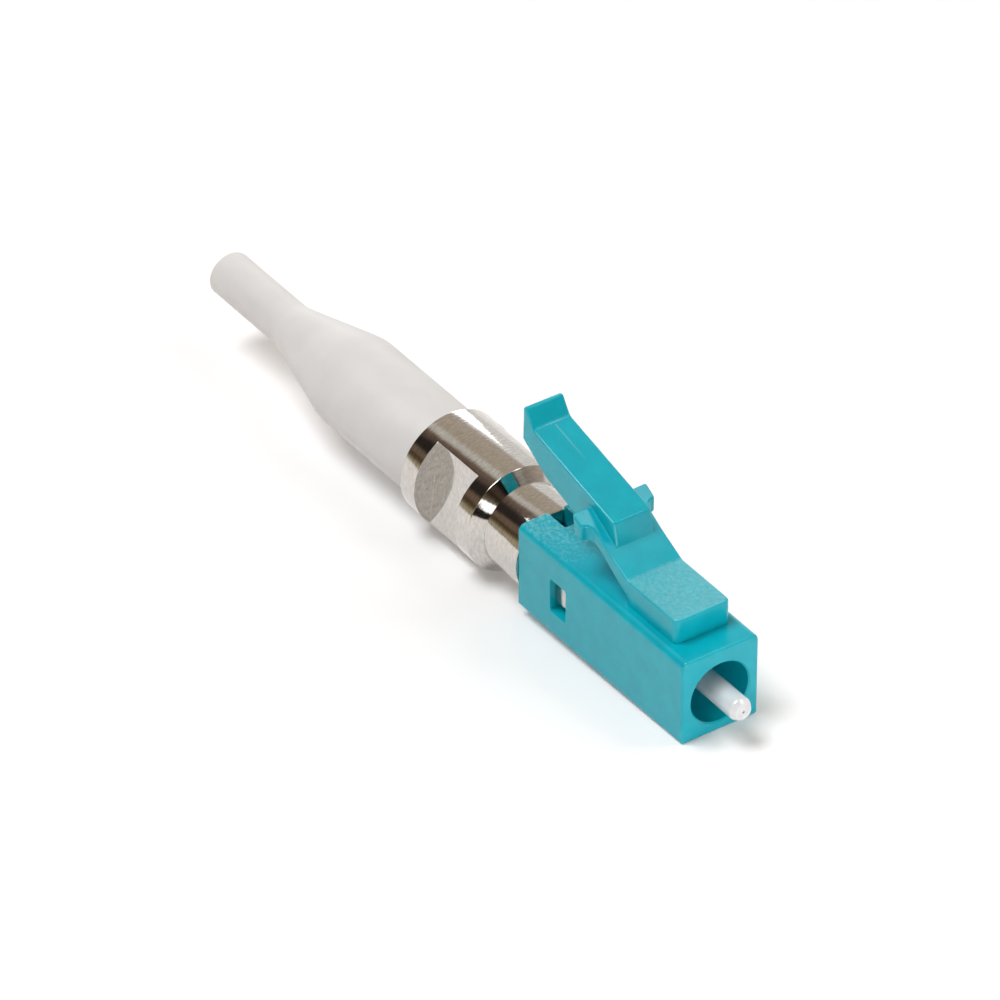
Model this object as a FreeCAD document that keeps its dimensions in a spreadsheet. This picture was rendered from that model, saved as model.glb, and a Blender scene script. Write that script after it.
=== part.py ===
"""LC fibre connector for a 0.9 mm buffered fibre, as a parametric FreeCAD document in millimetres.

The origin is where the ferrule's axis passes through the plane of the housing's front face. +X
points out of the connector along the ferrule, +Z is up, where the latch is, and every piece is
drawn where it sits, so what lies behind the front face has a negative x.
"""
import FreeCAD, Part
import Sketcher
import math
import os

AXIS_X = FreeCAD.Vector(1, 0, 0)
AXIS_Y = FreeCAD.Vector(0, 1, 0)

doc = FreeCAD.newDocument("lc_connector")
sheet = doc.addObject("Spreadsheet::Sheet", "sizes")

# Driving dimensions, in millimetres and degrees. "at" is a distance behind the housing's front
# face, "rise" is a height above the ferrule's axis, and "radius" is taken from that axis.
SIZES = [
    # ferrule and its carrier
    ("ferrule_reach", 1.9),          # ferrule's end in front of the housing's face
    ("ferrule_radius", 0.6245),      # standard LC ferrule
    ("ferrule_tip_radius", 0.45),    # flat left by the lead chamfer
    ("ferrule_tip_chamfer", 0.3),    # its length
    ("ferrule_grip", 1.7),           # length held in the carrier's collar
    ("ferrule_grip_relief", 0.02),   # radius taken off the gripped end
    ("fibre_hole_radius", 0.063),    # takes the bare 0.125 mm fibre
    ("fibre_funnel_length", 0.5),    # lead-in at the ferrule's back
    ("fibre_funnel_radius", 0.3),
    ("collar_length", 2.0),
    ("collar_flats", 2.6),           # hexagon across flats
    ("collar_chamfer", 0.2),
    ("carrier_tube_radius", 0.75),
    ("carrier_tube_end_at", 10.6),
    # guide tube for the buffered fibre
    ("guide_outer_radius", 0.58),
    ("guide_inner_radius", 0.48),
    ("guide_front_gap", 0.5),        # behind the ferrule, inside the carrier
    ("guide_end_at", 20.0),
    # ferrule spring
    ("spring_wire_radius", 0.15),
    ("spring_mean_radius", 1.06),
    ("spring_turns", 5.0),
    # housing shell
    ("housing_length", 13.75),
    ("housing_width", 4.5),
    ("housing_drop", 2.25),          # axis to underside
    ("housing_rise", 2.6),           # axis to top
    ("top_edge_round", 0.4),
    ("bottom_edge_round", 0.15),
    ("face_edge_round", 0.14),
    ("mouth_radius", 1.7),           # bore round the ferrule, for the adapter's sleeve
    ("mouth_depth", 3.0),
    ("mouth_chamfer", 0.08),
    ("web_thickness", 0.6),          # wall that the collar rests on
    ("web_hole_radius", 0.95),
    ("window_at", 9.75),
    ("window_length", 1.3),
    ("window_height", 1.9),
    ("window_corner_round", 0.15),
    ("notch_length", 1.5),           # slot in the top wall, open at the back
    ("notch_width", 1.0),
    # root of the latch, moulded on the housing's top
    ("root_front_at", 1.5),
    ("root_back_at", 5.45),
    ("root_rise", 4.0),
    ("root_edge_round", 0.28),
    ("latch_width", 3.25),
    # latch arm
    ("hinge_rise", 3.1),             # height of the bending line
    ("hinge_radius", 0.45),
    ("arm_under_rise", 2.9),         # arm's lower corner at the hinge
    ("step_at", 7.1),
    ("step_foot_rise", 4.76),
    ("step_lean", 0.28),
    ("step_top_rise", 6.05),
    ("ear_back_at", 9.3),
    ("ear_back_lean", 0.2),
    ("ear_top_rise", 6.0),
    ("ear_bottom_rise", 4.9),
    ("ear_length", 0.75),
    ("ear_span", 4.4),
    ("ear_root_round", 0.45),        # hollow corner where the arm widens into the ears
    ("belly_at", 7.7),               # bend in the arm's underside
    ("belly_rise", 4.35),
    ("lever_width", 2.24),
    ("lip_foot_at", 14.12),
    ("lip_foot_rise", 7.6),
    ("lip_top_at", 14.72),
    ("lip_top_rise", 8.5),
    ("lip_thickness", 0.25),
    ("lever_end_at", 15.03),
    ("lever_end_rise", 6.6),
    ("heel_at", 13.1),               # bend in the lever's underside
    ("heel_rise", 5.4),
    ("heel_front_at", 10.9),
    ("heel_front_rise", 4.75),
    ("lip_foot_round", 0.5),
    ("arm_edge_round", 0.08),
    # turned metal body
    ("sleeve_front_at", 9.6),
    ("sleeve_radius", 1.6),
    ("sleeve_bore_radius", 0.95),
    ("sleeve_bore_end_at", 14.6),
    ("neck_radius", 2.4),
    ("neck_back_at", 16.5),
    ("body_radius", 3.0),
    ("body_front_at", 17.1),
    ("body_back_at", 22.95),
    ("body_front_chamfer", 0.06),
    ("body_back_chamfer", 0.1),
    ("body_bore_radius", 1.4),
    ("body_bore_end_at", 17.7),
    ("socket_radius", 1.45),         # holds the boot's stem
    ("recess_depth", 0.9),           # seats the boot's shoulder
    ("flat_front_at", 18.2),
    ("flat_back_at", 21.7),
    ("flat_radius", 1.8),            # axis to wrench flat
    ("flat_turn", 83.8),             # from the top towards the near side
    ("lug_reach", 1.88),             # snap lug, out from the axis
    ("lug_height", 1.1),
    ("lug_ramp", 0.3),
    # boot
    ("boot_radius", 2.58),
    ("boot_cone_front_at", 31.35),
    ("boot_cone_back_at", 37.0),
    ("boot_tail_radius", 1.24),
    ("boot_end_at", 42.9),
    ("boot_stem_wall", 0.6),
    ("boot_tail_bore_radius", 0.52),
    ("boot_shoulder_round", 8.0),
    ("boot_waist_round", 6.0),
    ("boot_end_round", 0.12),
    # clearances
    ("running_gap", 0.05),           # between pieces that slide
    ("seat_gap", 0.02),              # between faces that rest on each other
    ("snap_gap", 0.05),              # between lug and window, each way
    ("pocket_gap", 0.12),            # between the collar's pocket and the metal sleeve behind it
]
for row, (alias, value) in enumerate(SIZES, start=1):
    sheet.set(f"A{row}", alias)
    sheet.set(f"B{row}", str(value))
    sheet.setAlias(f"B{row}", alias)
doc.recompute()


def worked_out(formula):
    """The number that a formula in the sheet's names gives now."""
    return float(sheet.evalExpression(formula))


def named(formula):
    """Put the sheet's name in front of each alias, so that a formula can be bound anywhere."""
    words = []
    word = ""
    for letter in formula + " ":
        if letter.isalnum() or letter == "_":
            word += letter
            continue
        words.append("sizes." + word if word in ALIASES else word)
        words.append(letter)
        word = ""
    return "".join(words).strip()


ALIASES = {alias for alias, value in SIZES}


def bind(thing, prop, formula):
    """Bind a property to the sheet."""
    thing.setExpression(prop, named(formula))


def plane(body, role):
    """One of a body's own origin planes."""
    return next(f for f in body.Origin.OriginFeatures if f.Role == role)


def outline(body, name, role, corners):
    """A closed sketch of straight lines on an origin plane, each corner held by two formulas."""
    sketch = body.newObject("Sketcher::SketchObject", name)
    sketch.AttachmentSupport = [(plane(body, role), "")]
    sketch.MapMode = "FlatFace"
    places = [FreeCAD.Vector(worked_out(named(x)), worked_out(named(y)), 0) for x, y in corners]
    count = len(corners)
    for i in range(count):
        sketch.addGeometry(Part.LineSegment(places[i], places[(i + 1) % count]), False)
    for i in range(count):
        sketch.addConstraint(Sketcher.Constraint("Coincident", i, 2, (i + 1) % count, 1))
    for i, (x, y) in enumerate(corners):
        hold(sketch, i, "DistanceX", x, places[i].x, -2)
        hold(sketch, i, "DistanceY", y, places[i].y, -1)
    return sketch


def hold(sketch, line, kind, formula, value, axis):
    """Hold the start of a line at a signed distance from the sketch's origin, or on its axis."""
    if formula == "0":
        sketch.addConstraint(Sketcher.Constraint("PointOnObject", line, 1, axis))
        return
    place = sketch.addConstraint(Sketcher.Constraint(kind, -1, 1, line, 1, value))
    sketch.setExpression(f"Constraints[{place}]", named(formula))


def new_body(label):
    """An empty PartDesign body with a label of its own."""
    body = doc.addObject("PartDesign::Body", label)
    body.Label = label
    return body


def turned(body, name, corners, kind="PartDesign::Revolution"):
    """Revolve an outline of (behind the face, radius) corners about the ferrule's axis."""
    sketch = outline(body, name + "_profile", "XZ_Plane", corners)
    feature = body.newObject(kind, name)
    feature.Profile = sketch
    feature.ReferenceAxis = (sketch, ["H_Axis"])
    feature.Angle = 360
    body.Tip = feature
    return feature


def bar(body, name, corners, width, kind="PartDesign::Pad", role="XZ_Plane"):
    """Pad or pocket a side outline by a width, half each side of the middle plane."""
    sketch = outline(body, name + "_profile", role, corners)
    feature = body.newObject(kind, name)
    feature.Profile = sketch
    feature.SideType = "Symmetric"
    bind(feature, "Length", width)
    body.Tip = feature
    return feature


def rounded(body, name, base, radius, wanted):
    """Round those edges of a feature that a test on their middle point and direction picks."""
    doc.recompute()
    picked = []
    for number, edge in enumerate(base.Shape.Edges, start=1):
        if edge.Degenerated:
            continue
        first, last = edge.ParameterRange
        middle = edge.valueAt((first + last) / 2)
        if wanted(edge, middle):
            picked.append(f"Edge{number}")
    feature = body.newObject("PartDesign::Fillet", name)
    feature.Base = (base, picked)
    bind(feature, "Radius", radius)
    body.Tip = feature
    return feature


def near(first, second):
    """Whether two lengths are the same within a hundredth of a millimetre."""
    return abs(first - second) < 0.01


def runs_along(edge, direction):
    """Whether a straight edge runs along a direction."""
    if not isinstance(edge.Curve, Part.Line):
        return False
    return abs(edge.Curve.Direction.dot(direction)) > 0.999


def size(alias):
    """A driving dimension as a number, for the tests that pick edges and for shapes set in code."""
    return worked_out("sizes." + alias)


# Housing: one moulding with the mouth for the adapter's sleeve in front, the hexagonal seat of the
# ferrule's carrier behind it, the bore for the metal body at the back, two snap windows, the notch
# in the top wall and the root of the latch.
housing = new_body("housing")
shell = bar(housing, "shell", [
    ("0", "-housing_drop"),
    ("-housing_length", "-housing_drop"),
    ("-housing_length", "housing_rise"),
    ("0", "housing_rise"),
], "housing_width")
shell_top = rounded(
    housing, "shell_top_edges", shell, "top_edge_round",
    lambda edge, middle: runs_along(edge, AXIS_X) and near(middle.z, size("housing_rise")))
shell_bottom = rounded(
    housing, "shell_bottom_edges", shell_top, "bottom_edge_round",
    lambda edge, middle: runs_along(edge, AXIS_X) and near(middle.z, -size("housing_drop")))
shell_face = rounded(
    housing, "shell_face_edges", shell_bottom, "face_edge_round",
    lambda edge, middle: near(middle.x, 0))
root = bar(housing, "latch_root", [
    ("-root_front_at", "housing_rise - root_edge_round"),
    ("-root_front_at", "root_rise"),
    ("-root_back_at", "root_rise"),
    ("-root_back_at", "housing_rise - root_edge_round"),
], "latch_width")
root_edges = rounded(
    housing, "root_edges", root, "root_edge_round",
    lambda edge, middle: middle.z > size("housing_rise") + 0.1
    and near(middle.x, -size("root_front_at")))
root_top_edges = rounded(
    housing, "root_top_edges", root_edges, "arm_edge_round",
    lambda edge, middle: runs_along(edge, AXIS_X) and near(middle.z, size("root_rise")))

WEB_BACK = "mouth_depth + web_thickness"
POCKET_BACK = "sleeve_front_at - pocket_gap"
turned(housing, "bores", [
    ("1", "0"),
    ("1", "mouth_radius + mouth_chamfer + 1"),
    ("-mouth_chamfer", "mouth_radius"),
    ("-mouth_depth", "mouth_radius"),
    ("-mouth_depth", "web_hole_radius"),
    (f"-({POCKET_BACK})", "web_hole_radius"),
    (f"-({POCKET_BACK})", "sleeve_radius + seat_gap"),
    ("-housing_length - 1", "sleeve_radius + seat_gap"),
    ("-housing_length - 1", "0"),
], "PartDesign::Groove")
collar_pocket = housing.newObject("PartDesign::SubtractivePrism", "collar_pocket")
collar_pocket.Polygon = 6
collar_pocket.Placement = FreeCAD.Placement(FreeCAD.Vector(), FreeCAD.Rotation(AXIS_Y, -90))
bind(collar_pocket, "Circumradius", "(collar_flats / 2 + running_gap) / cos(30 deg) * 1 mm")
bind(collar_pocket, "Height", f"{POCKET_BACK} - ({WEB_BACK})")
bind(collar_pocket, "Placement.Base.x", f"-({WEB_BACK})")
windows = bar(housing, "windows", [
    ("-window_at", "window_height / 2"),
    ("-window_at", "-window_height / 2"),
    ("-window_at - window_length", "-window_height / 2"),
    ("-window_at - window_length", "window_height / 2"),
], "housing_width + 1", "PartDesign::Pocket")
window_corners = rounded(
    housing, "window_corners", windows, "window_corner_round",
    lambda edge, middle: runs_along(edge, AXIS_Y)
    and near(abs(middle.z), size("window_height") / 2)
    and middle.x < -size("window_at") + 0.01
    and middle.x > -size("window_at") - size("window_length") - 0.01)
notch_sketch = outline(housing, "notch_profile", "XY_Plane", [
    ("-housing_length + notch_length", "notch_width / 2"),
    ("-housing_length + notch_length", "-notch_width / 2"),
    ("-housing_length - 1", "-notch_width / 2"),
    ("-housing_length - 1", "notch_width / 2"),
])
notch = housing.newObject("PartDesign::Pocket", "notch")
notch.Profile = notch_sketch
notch.Reversed = True
bind(notch, "Length", "housing_rise + 1")
hinge_seat = housing.newObject("PartDesign::SubtractiveCylinder", "hinge_seat")
hinge_seat.Placement = FreeCAD.Placement(FreeCAD.Vector(), FreeCAD.Rotation(AXIS_X, 90))
bind(hinge_seat, "Radius", "hinge_radius + seat_gap")
bind(hinge_seat, "Height", "latch_width + 2 * running_gap")
bind(hinge_seat, "Placement.Base.x", "-root_back_at")
bind(hinge_seat, "Placement.Base.y", "latch_width / 2 + running_gap")
bind(hinge_seat, "Placement.Base.z", "hinge_rise")
housing.Tip = hinge_seat

# Latch: the springy arm of the same moulding. It bends at its root, so it is a piece of its own
# with a round end there; ears on both sides catch in the adapter and the lever releases them.
latch = new_body("latch")
arm = bar(latch, "arm", [
    ("-root_back_at - seat_gap", "arm_under_rise"),
    ("-root_back_at - seat_gap", "root_rise"),
    ("-step_at", "step_foot_rise"),
    ("-ear_back_at", "ear_top_rise"),
    ("-ear_back_at + ear_back_lean", "ear_bottom_rise"),
    ("-belly_at", "belly_rise"),
], "latch_width")
EAR_SLOPE = "(ear_top_rise - step_foot_rise) / (ear_back_at - step_at)"
EAR_UNDER_SLOPE = "(ear_bottom_rise - belly_rise) / (ear_back_at - ear_back_lean - belly_at)"
ears = bar(latch, "ears", [
    ("-ear_back_at + ear_length", f"ear_top_rise - ear_length * {EAR_SLOPE}"),
    ("-ear_back_at", "ear_top_rise"),
    ("-ear_back_at + ear_back_lean", "ear_bottom_rise"),
    ("-ear_back_at + ear_length",
     f"ear_bottom_rise - (ear_length - ear_back_lean) * {EAR_UNDER_SLOPE}"),
], "ear_span")
ear_roots = rounded(
    latch, "ear_roots", ears, "min(ear_root_round; 0.9 * (ear_span - latch_width) / 2)",
    lambda edge, middle: near(abs(middle.y), size("latch_width") / 2)
    and near(middle.x, -size("ear_back_at") + size("ear_length")))
lever = bar(latch, "lever", [
    ("-step_at", "step_foot_rise"),
    ("-step_at - step_lean", "step_top_rise"),
    ("-lip_foot_at", "lip_foot_rise"),
    ("-lip_top_at", "lip_top_rise"),
    ("-lip_top_at - lip_thickness", "lip_top_rise"),
    ("-lever_end_at", "lever_end_rise"),
    ("-heel_at", "heel_rise"),
    ("-heel_front_at", "heel_front_rise"),
    ("-ear_back_at + ear_back_lean", "belly_rise"),
], "lever_width")
lip_foot = rounded(
    latch, "lip_foot", lever, "lip_foot_round",
    lambda edge, middle: runs_along(edge, AXIS_Y)
    and near(middle.x, -size("lip_foot_at")) and near(middle.z, size("lip_foot_rise")))
lip_top = rounded(
    latch, "lip_top", lip_foot, "0.45 * lip_thickness",
    lambda edge, middle: runs_along(edge, AXIS_Y) and near(middle.z, size("lip_top_rise")))
hinge_end = latch.newObject("PartDesign::AdditiveCylinder", "hinge_end")
hinge_end.Placement = FreeCAD.Placement(FreeCAD.Vector(), FreeCAD.Rotation(AXIS_X, 90))
bind(hinge_end, "Radius", "hinge_radius")
bind(hinge_end, "Height", "latch_width")
bind(hinge_end, "Placement.Base.x", "-root_back_at")
bind(hinge_end, "Placement.Base.y", "latch_width / 2")
bind(hinge_end, "Placement.Base.z", "hinge_rise")
latch.Tip = hinge_end

# Ferrule: a zirconia rod with a lead chamfer at the polished end, a hole for the fibre and a funnel
# at the back that leads the fibre in. It is ground to its full diameter as far back as the mouth
# reaches, and tapers inside the web to the slightly smaller diameter that the carrier grips.
COLLAR_FRONT = f"{WEB_BACK} + seat_gap"
FERRULE_BACK = f"{COLLAR_FRONT} + ferrule_grip"
GRIP_RADIUS = "ferrule_radius - ferrule_grip_relief"
ferrule = new_body("ferrule")
turned(ferrule, "rod", [
    ("ferrule_reach", "fibre_hole_radius"),
    ("ferrule_reach", "ferrule_tip_radius"),
    ("ferrule_reach - ferrule_tip_chamfer", "ferrule_radius"),
    ("-mouth_depth", "ferrule_radius"),
    (f"-({COLLAR_FRONT})", GRIP_RADIUS),
    (f"-({FERRULE_BACK})", GRIP_RADIUS),
    (f"-({FERRULE_BACK})", "fibre_funnel_radius"),
    (f"-({FERRULE_BACK} - fibre_funnel_length)", "fibre_hole_radius"),
])

# Carrier: the metal piece that the ferrule is pressed into. Its hexagonal collar keeps the ferrule
# from turning and its tube guides the spring.
carrier = new_body("ferrule_carrier")
COLLAR_CORNER = "collar_flats / 2 / cos(30 deg)"
COLLAR_BACK = f"{COLLAR_FRONT} + collar_length"
collar = carrier.newObject("PartDesign::AdditivePrism", "collar")
collar.Polygon = 6
collar.Placement = FreeCAD.Placement(FreeCAD.Vector(), FreeCAD.Rotation(AXIS_Y, -90))
bind(collar, "Circumradius", f"{COLLAR_CORNER} * 1 mm")
bind(collar, "Height", "collar_length")
bind(collar, "Placement.Base.x", f"-({COLLAR_FRONT})")
turned(carrier, "nose_chamfer", [
    (f"-({COLLAR_FRONT})", "collar_flats / 2 - collar_chamfer"),
    (f"-({COLLAR_FRONT} + 2 * collar_chamfer)", "collar_flats / 2 + collar_chamfer"),
    (f"-({COLLAR_FRONT} + 2 * collar_chamfer)", "collar_flats"),
    (f"-({COLLAR_FRONT})", "collar_flats"),
], "PartDesign::Groove")
turned(carrier, "tube", [
    (f"-({COLLAR_FRONT} + collar_length / 2)", "0"),
    (f"-({COLLAR_FRONT} + collar_length / 2)", "carrier_tube_radius"),
    ("-carrier_tube_end_at", "carrier_tube_radius"),
    ("-carrier_tube_end_at", "0"),
])
turned(carrier, "bores_inside", [
    (f"-({COLLAR_FRONT}) + 1", "0"),
    (f"-({COLLAR_FRONT}) + 1", GRIP_RADIUS),
    (f"-({FERRULE_BACK})", GRIP_RADIUS),
    (f"-({FERRULE_BACK})", "guide_outer_radius"),
    ("-carrier_tube_end_at - 1", "guide_outer_radius"),
    ("-carrier_tube_end_at - 1", "0"),
], "PartDesign::Groove")

# Guide tube: a thin plastic tube, pushed into the carrier, that leads the 0.9 mm buffer to it.
guide_tube = new_body("guide_tube")
turned(guide_tube, "guide", [
    (f"-({FERRULE_BACK} + guide_front_gap)", "guide_inner_radius"),
    (f"-({FERRULE_BACK} + guide_front_gap)", "guide_outer_radius"),
    ("-guide_end_at", "guide_outer_radius"),
    ("-guide_end_at", "guide_inner_radius"),
])

# Spring: pushes the carrier's collar forward against the housing's web. Its back end rests on the
# metal body's sleeve.
SPRING_LENGTH = f"sleeve_front_at - ({COLLAR_BACK}) - 2 * spring_wire_radius - 2 * seat_gap"
coil = doc.addObject("Part::Helix", "spring_line")
bind(coil, "Radius", "spring_mean_radius")
bind(coil, "Height", SPRING_LENGTH)
bind(coil, "Pitch", f"({SPRING_LENGTH}) / spring_turns")
coil.SegmentLength = 1
doc.recompute()
wire_section = doc.addObject("Part::Circle", "spring_wire")
wire_section.Placement = FreeCAD.Placement(FreeCAD.Vector(), FreeCAD.Rotation(AXIS_X, 90))
bind(wire_section, "Radius", "spring_wire_radius")
bind(wire_section, "Placement.Base.x", "spring_mean_radius")
spring = doc.addObject("Part::Sweep", "spring")
spring.Label = "spring"
spring.Sections = [wire_section]
spring.Spine = (coil, [f"Edge{turn}" for turn in range(1, len(coil.Shape.Edges) + 1)])
spring.Solid = True
spring.Frenet = True
spring.Placement = FreeCAD.Placement(FreeCAD.Vector(), FreeCAD.Rotation(AXIS_Y, -90))
bind(spring, "Placement.Base.x",
     f"-({COLLAR_BACK}) - spring_wire_radius - seat_gap")

# Metal body: turned and nickel plated. Its sleeve goes into the housing and snaps into both
# windows by its lugs, its neck meets the housing's back face, two wrench flats are milled on its
# wide part, and its socket holds the boot.
turning = doc.addObject("PartDesign::Body", "turning")
turned(turning, "outside", [
    ("-sleeve_front_at", "0"),
    ("-sleeve_front_at", "sleeve_radius"),
    ("-housing_length - seat_gap", "sleeve_radius"),
    ("-housing_length - seat_gap", "neck_radius"),
    ("-neck_back_at", "neck_radius"),
    ("-body_front_at + body_front_chamfer", "body_radius - body_front_chamfer"),
    ("-body_front_at", "body_radius"),
    ("-body_back_at + body_back_chamfer", "body_radius"),
    ("-body_back_at", "body_radius - body_back_chamfer"),
    ("-body_back_at", "0"),
])
LUG_FRONT = "window_at + snap_gap"
LUG_BACK = "window_at + window_length - snap_gap"
bar(turning, "snap_lugs", [
    (f"-({LUG_FRONT})", "sleeve_radius - seat_gap"),
    (f"-({LUG_FRONT} + lug_ramp)", "lug_reach"),
    (f"-({LUG_BACK})", "lug_reach"),
    (f"-({LUG_BACK})", "-lug_reach"),
    (f"-({LUG_FRONT} + lug_ramp)", "-lug_reach"),
    (f"-({LUG_FRONT})", "-sleeve_radius + seat_gap"),
], "lug_height", role="XY_Plane")
turned(turning, "bore", [
    ("-sleeve_front_at + 1", "0"),
    ("-sleeve_front_at + 1", "sleeve_bore_radius"),
    ("-sleeve_bore_end_at", "sleeve_bore_radius"),
    ("-sleeve_bore_end_at", "body_bore_radius"),
    ("-body_bore_end_at", "body_bore_radius"),
    ("-body_bore_end_at", "socket_radius"),
    ("-body_back_at + recess_depth", "socket_radius"),
    ("-body_back_at + recess_depth", "boot_radius + seat_gap"),
    ("-body_back_at - 1", "boot_radius + seat_gap"),
    ("-body_back_at - 1", "0"),
], "PartDesign::Groove")


def flat_cutter(name, turn):
    """A block that leaves a flat on the turned body, its normal turned from +Z about the axis."""
    block = doc.addObject("Part::Box", name)
    block.Placement = FreeCAD.Placement(FreeCAD.Vector(), FreeCAD.Rotation(AXIS_X, 1))
    bind(block, "Length", "flat_back_at - flat_front_at")
    bind(block, "Width", "2 * body_radius")
    bind(block, "Height", "body_radius")
    bind(block, "Placement.Rotation.Angle", f"({turn}) * 1 deg")
    bind(block, "Placement.Base.x", "-flat_back_at")
    bind(block, "Placement.Base.y",
         f"-body_radius * cos(({turn}) * 1 deg) - flat_radius * sin(({turn}) * 1 deg)")
    bind(block, "Placement.Base.z",
         f"-body_radius * sin(({turn}) * 1 deg) + flat_radius * cos(({turn}) * 1 deg)")
    return block


flats = doc.addObject("Part::MultiFuse", "flats")
flats.Shapes = [flat_cutter("near_flat", "flat_turn"), flat_cutter("far_flat", "flat_turn + 180")]
metal_body = doc.addObject("Part::Cut", "metal_body")
metal_body.Label = "metal_body"
metal_body.Base = turning
metal_body.Tool = flats

# Boot: a soft white moulding. Its stem is pushed into the metal body's socket, its shoulder seats
# in the recess, and it narrows to a tail that keeps the buffer from a sharp bend.
boot = new_body("boot")
STEM_RADIUS = "socket_radius - seat_gap"
turned(boot, "moulding", [
    ("-body_bore_end_at - seat_gap", f"{STEM_RADIUS} - boot_stem_wall"),
    ("-body_bore_end_at - seat_gap", STEM_RADIUS),
    ("-body_back_at + recess_depth - seat_gap", STEM_RADIUS),
    ("-body_back_at + recess_depth - seat_gap", "boot_radius"),
    ("-boot_cone_front_at", "boot_radius"),
    ("-boot_cone_back_at", "boot_tail_radius"),
    ("-boot_end_at", "boot_tail_radius"),
    ("-boot_end_at", "boot_tail_bore_radius"),
    ("-boot_cone_back_at", "boot_tail_bore_radius"),
    ("-boot_cone_front_at", f"{STEM_RADIUS} - boot_stem_wall"),
])
doc.recompute()
boot_shoulder = rounded(
    boot, "boot_shoulder", boot.Tip, "boot_shoulder_round",
    lambda edge, middle: near(middle.x, -size("boot_cone_front_at"))
    and near(math.hypot(middle.y, middle.z), size("boot_radius")))
boot_waist = rounded(
    boot, "boot_waist", boot_shoulder, "boot_waist_round",
    lambda edge, middle: near(middle.x, -size("boot_cone_back_at"))
    and near(math.hypot(middle.y, middle.z), size("boot_tail_radius")))
rounded(
    boot, "boot_end", boot_waist, "boot_end_round",
    lambda edge, middle: near(middle.x, -size("boot_end_at"))
    and near(math.hypot(middle.y, middle.z), size("boot_tail_radius")))

doc.recompute()
PIECES = [housing, latch, ferrule, carrier, guide_tube, spring, metal_body, boot]
for thing in doc.Objects:
    if "Invalid" in thing.State or "Error" in thing.State:
        raise RuntimeError(f"{thing.Label} failed: {thing.State}")
for piece in PIECES:
    if piece.Shape.isNull() or not piece.Shape.isValid():
        raise RuntimeError(f"{piece.Label} has no valid shape")
    if len(piece.Shape.Solids) != 1:
        raise RuntimeError(f"{piece.Label} has {len(piece.Shape.Solids)} solids")

os.makedirs("parts", exist_ok=True)
for piece in PIECES:
    box = piece.Shape.BoundBox
    print(f"{piece.Label:16s} {piece.Shape.Volume:9.3f} mm3  x {box.XMin:7.2f} {box.XMax:7.2f}"
          f"  y {box.YMin:6.2f} {box.YMax:6.2f}  z {box.ZMin:6.2f} {box.ZMax:6.2f}")
    piece.Shape.exportStep(os.path.join("parts", piece.Label + ".step"))
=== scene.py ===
"""LC fibre connector for 0.9 mm buffered fibre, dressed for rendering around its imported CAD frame.
Every size is in millimetres until a piece is finished, and the pieces end up in metres.
"""
import math

import bmesh
import bpy
from mathutils import Matrix, Vector


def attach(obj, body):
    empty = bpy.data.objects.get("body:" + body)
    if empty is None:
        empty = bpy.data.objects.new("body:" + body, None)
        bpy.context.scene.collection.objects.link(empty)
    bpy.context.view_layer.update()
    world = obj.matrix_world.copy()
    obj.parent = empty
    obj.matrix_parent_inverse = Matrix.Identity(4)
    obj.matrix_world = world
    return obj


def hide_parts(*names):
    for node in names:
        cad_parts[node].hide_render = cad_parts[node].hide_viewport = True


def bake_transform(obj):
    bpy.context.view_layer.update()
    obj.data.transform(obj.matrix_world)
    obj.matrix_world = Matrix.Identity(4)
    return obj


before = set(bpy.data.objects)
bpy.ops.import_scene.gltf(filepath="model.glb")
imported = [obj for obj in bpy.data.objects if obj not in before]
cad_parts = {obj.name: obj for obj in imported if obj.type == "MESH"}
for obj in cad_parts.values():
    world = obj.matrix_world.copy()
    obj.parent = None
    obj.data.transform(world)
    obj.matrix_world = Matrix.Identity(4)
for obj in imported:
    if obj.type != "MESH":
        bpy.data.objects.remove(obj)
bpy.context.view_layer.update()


# Housing shell: the teal nose that plugs into an adapter, moulded in one with the latch.
# Satin PBT from a fine-grained tool: rounded long edges, a round mouth, two snap windows and a
# notch in the top wall at the back.
MM = 0.001
NOSE_LENGTH = 13.75
NOSE_WIDTH = 4.5
NOSE_TOP = 2.6
NOSE_BOTTOM = -2.25
NOSE_TOP_ROUND = 0.4
NOSE_BOTTOM_ROUND = 0.15
NOSE_FACE_ROUND = 0.14
NOSE_BACK_ROUND = 0.05
MOUTH_RADIUS = 1.7
MOUTH_DEPTH = 3.0
MOUTH_CHAMFER = 0.08
WEB_BACK = 3.6
WEB_HOLE_RADIUS = 0.95
POCKET_BACK = 9.48
POCKET_CORNER = 1.559
BACK_BORE_RADIUS = 1.62
WINDOW_AT = 9.75
WINDOW_LENGTH = 1.3
WINDOW_HEIGHT = 1.9
WINDOW_CORNER_ROUND = 0.15
WINDOW_RIM_ROUND = 0.05
NOTCH_LENGTH = 1.5
NOTCH_WIDTH = 1.0
NOTCH_CORNER_ROUND = 0.1


def round_edges(mesh, test, radius, steps):
    """Rounds every edge whose two ends pass the test."""
    edges = [edge for edge in mesh.edges if test(*(end.co for end in edge.verts))]
    bmesh.ops.bevel(mesh, geom=edges, offset=radius, offset_type="OFFSET", segments=steps,
                    profile=0.5, affect="EDGES", material=-1, clamp_overlap=True)


def block(low, high):
    """A box between two corners."""
    mesh = bmesh.new()
    bmesh.ops.create_cube(mesh, size=1.0)
    size = [top - bottom for bottom, top in zip(low, high)]
    middle = [(top + bottom) / 2 for bottom, top in zip(low, high)]
    bmesh.ops.scale(mesh, vec=size, verts=mesh.verts)
    bmesh.ops.translate(mesh, vec=middle, verts=mesh.verts)
    return mesh


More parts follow.
